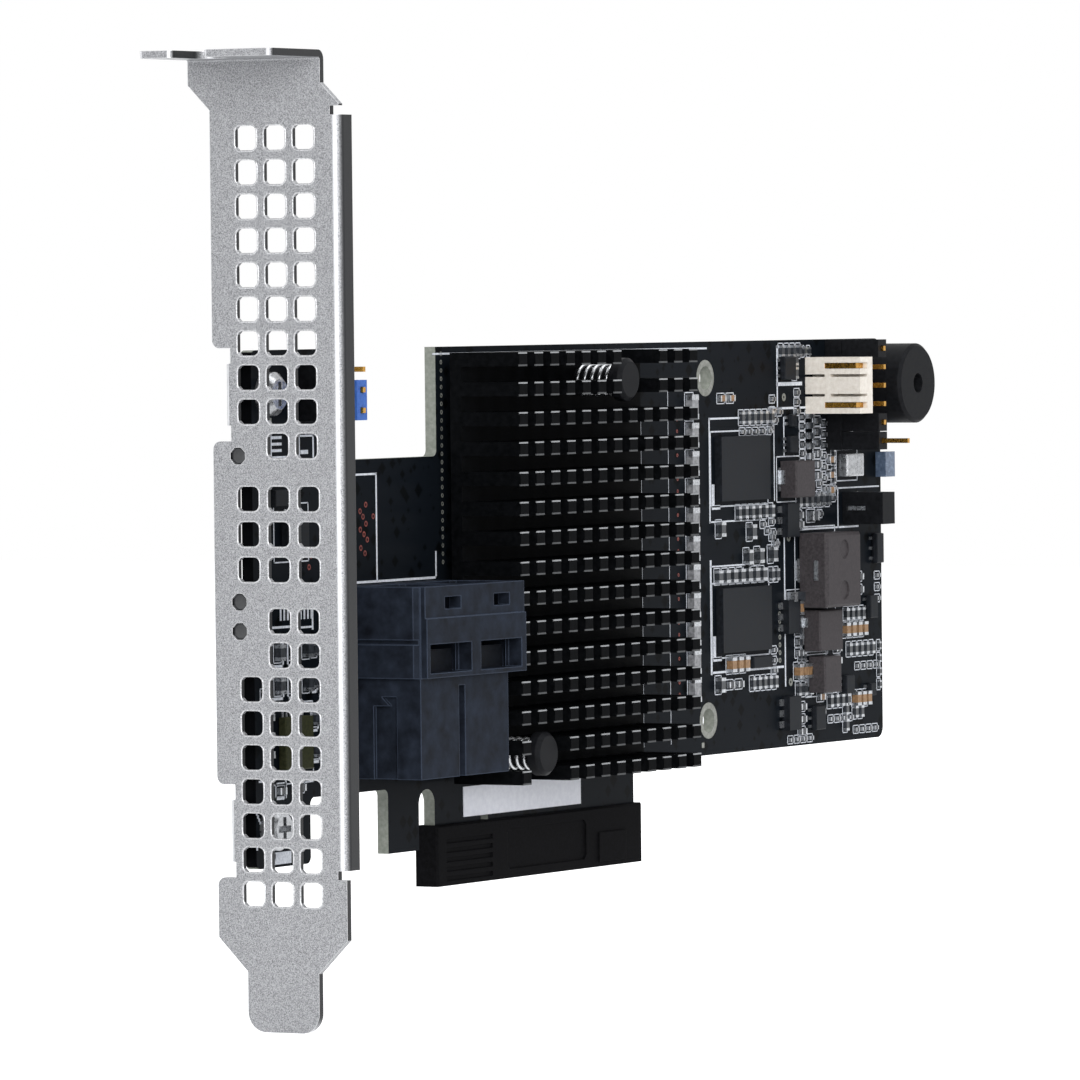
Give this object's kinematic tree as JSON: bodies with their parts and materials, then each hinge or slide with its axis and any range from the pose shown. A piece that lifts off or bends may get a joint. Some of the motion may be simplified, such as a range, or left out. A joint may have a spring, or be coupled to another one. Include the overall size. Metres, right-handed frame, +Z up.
{
  "type": "storage controller card",
  "caption": "Low-profile storage controller card with a pin-fin heatsink, twin upward cable ports, a plastic cover on its edge contacts and a tall vented steel bracket.",
  "frame": {"origin": "centre of the key notch of the edge connector, on the middle plane of the board, at the lower edge of the contacts", "axes": "+X along the card away from the bracket, +Z up from the contacts, and the component side of the board faces -Y"},
  "size_m": [0.1825, 0.0215, 0.12],
  "materials": {
    "zinc_steel": "zinc-plated sheet steel, fine speckle",
    "screw_steel": "plated steel",
    "board_laminate": "black solder mask over glass laminate",
    "gold_plating": "hard gold plating",
    "black_plastic": "moulded black plastic",
    "anodised_aluminium": "black anodised aluminium",
    "spring_steel": "drawn spring wire",
    "chip_epoxy": "moulded epoxy",
    "chip_substrate": "package laminate",
    "thermal_pad": "soft gap filler",
    "receptacle_plastic": "glass-filled plastic",
    "choke_ferrite": "pressed iron powder",
    "tin_plating": "tinned metal",
    "blue_plastic": "moulded blue plastic",
    "cream_plastic": "moulded cream plastic",
    "lamp_lens": "clear-faced lamp body",
    "ceramic_body": "fired ceramic with tinned ends",
    "label_paper": "coated white label"
  },
  "bodies": {
    "root": {"circuit_board": "board_laminate", "edge_contacts": "gold_plating", "io_bracket": "zinc_steel", "bracket_screws": "screw_steel", "edge_cover": "black_plastic", "controller_substrate": "chip_substrate", "controller_chip": "chip_epoxy", "thermal_pad": "thermal_pad", "heatsink": "anodised_aluminium", "push_pins": "black_plastic", "push_pin_springs": "spring_steel", "sas_receptacle": "receptacle_plastic", "port_inserts": "black_plastic", "memory_upper": "chip_epoxy", "memory_lower": "chip_epoxy", "choke_large": "choke_ferrite", "choke_upper": "choke_ferrite", "choke_middle": "choke_ferrite", "choke_lower": "choke_ferrite", "choke_terminals": "tin_plating", "buzzer": "black_plastic", "far_header_base": "black_plastic", "far_header_pins": "gold_plating", "far_header_caps": "black_plastic", "near_header_base": "black_plastic", "near_header_pins": "gold_plating", "near_jumper_cap": "blue_plastic", "tower_connector": "cream_plastic", "tower_contacts": "gold_plating", "small_plug": "black_plastic", "small_plug_contact": "tin_plating", "crystal_can": "tin_plating", "status_lamp": "lamp_lens", "flash_chip": "chip_epoxy", "line_driver": "chip_epoxy", "chip_leads": "tin_plating", "power_switches": "chip_epoxy", "ceramic_capacitors": "ceramic_body", "paper_label": "label_paper", "solder_joints": "tin_plating"}
  },
  "joints": []
}
